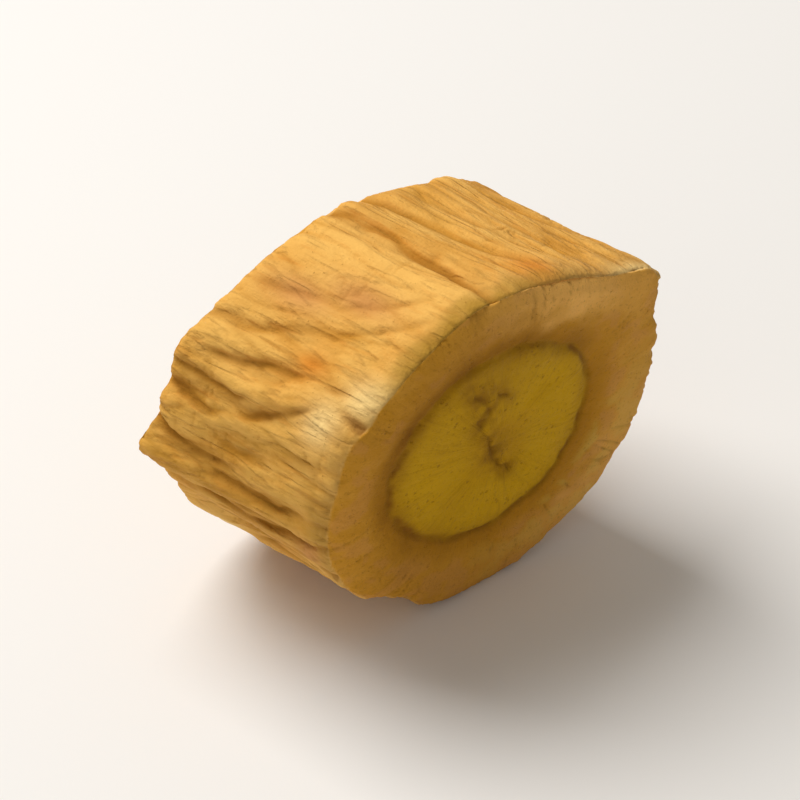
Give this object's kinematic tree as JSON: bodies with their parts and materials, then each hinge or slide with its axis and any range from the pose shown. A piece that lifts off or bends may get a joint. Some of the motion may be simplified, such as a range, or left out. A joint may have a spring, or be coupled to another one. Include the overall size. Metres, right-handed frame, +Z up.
{
  "type": "cut astragalus root",
  "caption": "Squat chopped piece of dried astragalus root with furrowed tan bark and yellow cut faces, lying on its bark.",
  "frame": {"origin": "on the surface the piece lies on, below the middle of its box", "axes": "+X along the root towards the wider cut face, +Y across the root, +Z up"},
  "size_m": [0.0106, 0.0146, 0.0146],
  "materials": {
    "root": "dry matt bark, tan with brown furrows, and yellow cut faces"
  },
  "bodies": {
    "root": {"cut_root": "root"}
  },
  "joints": []
}
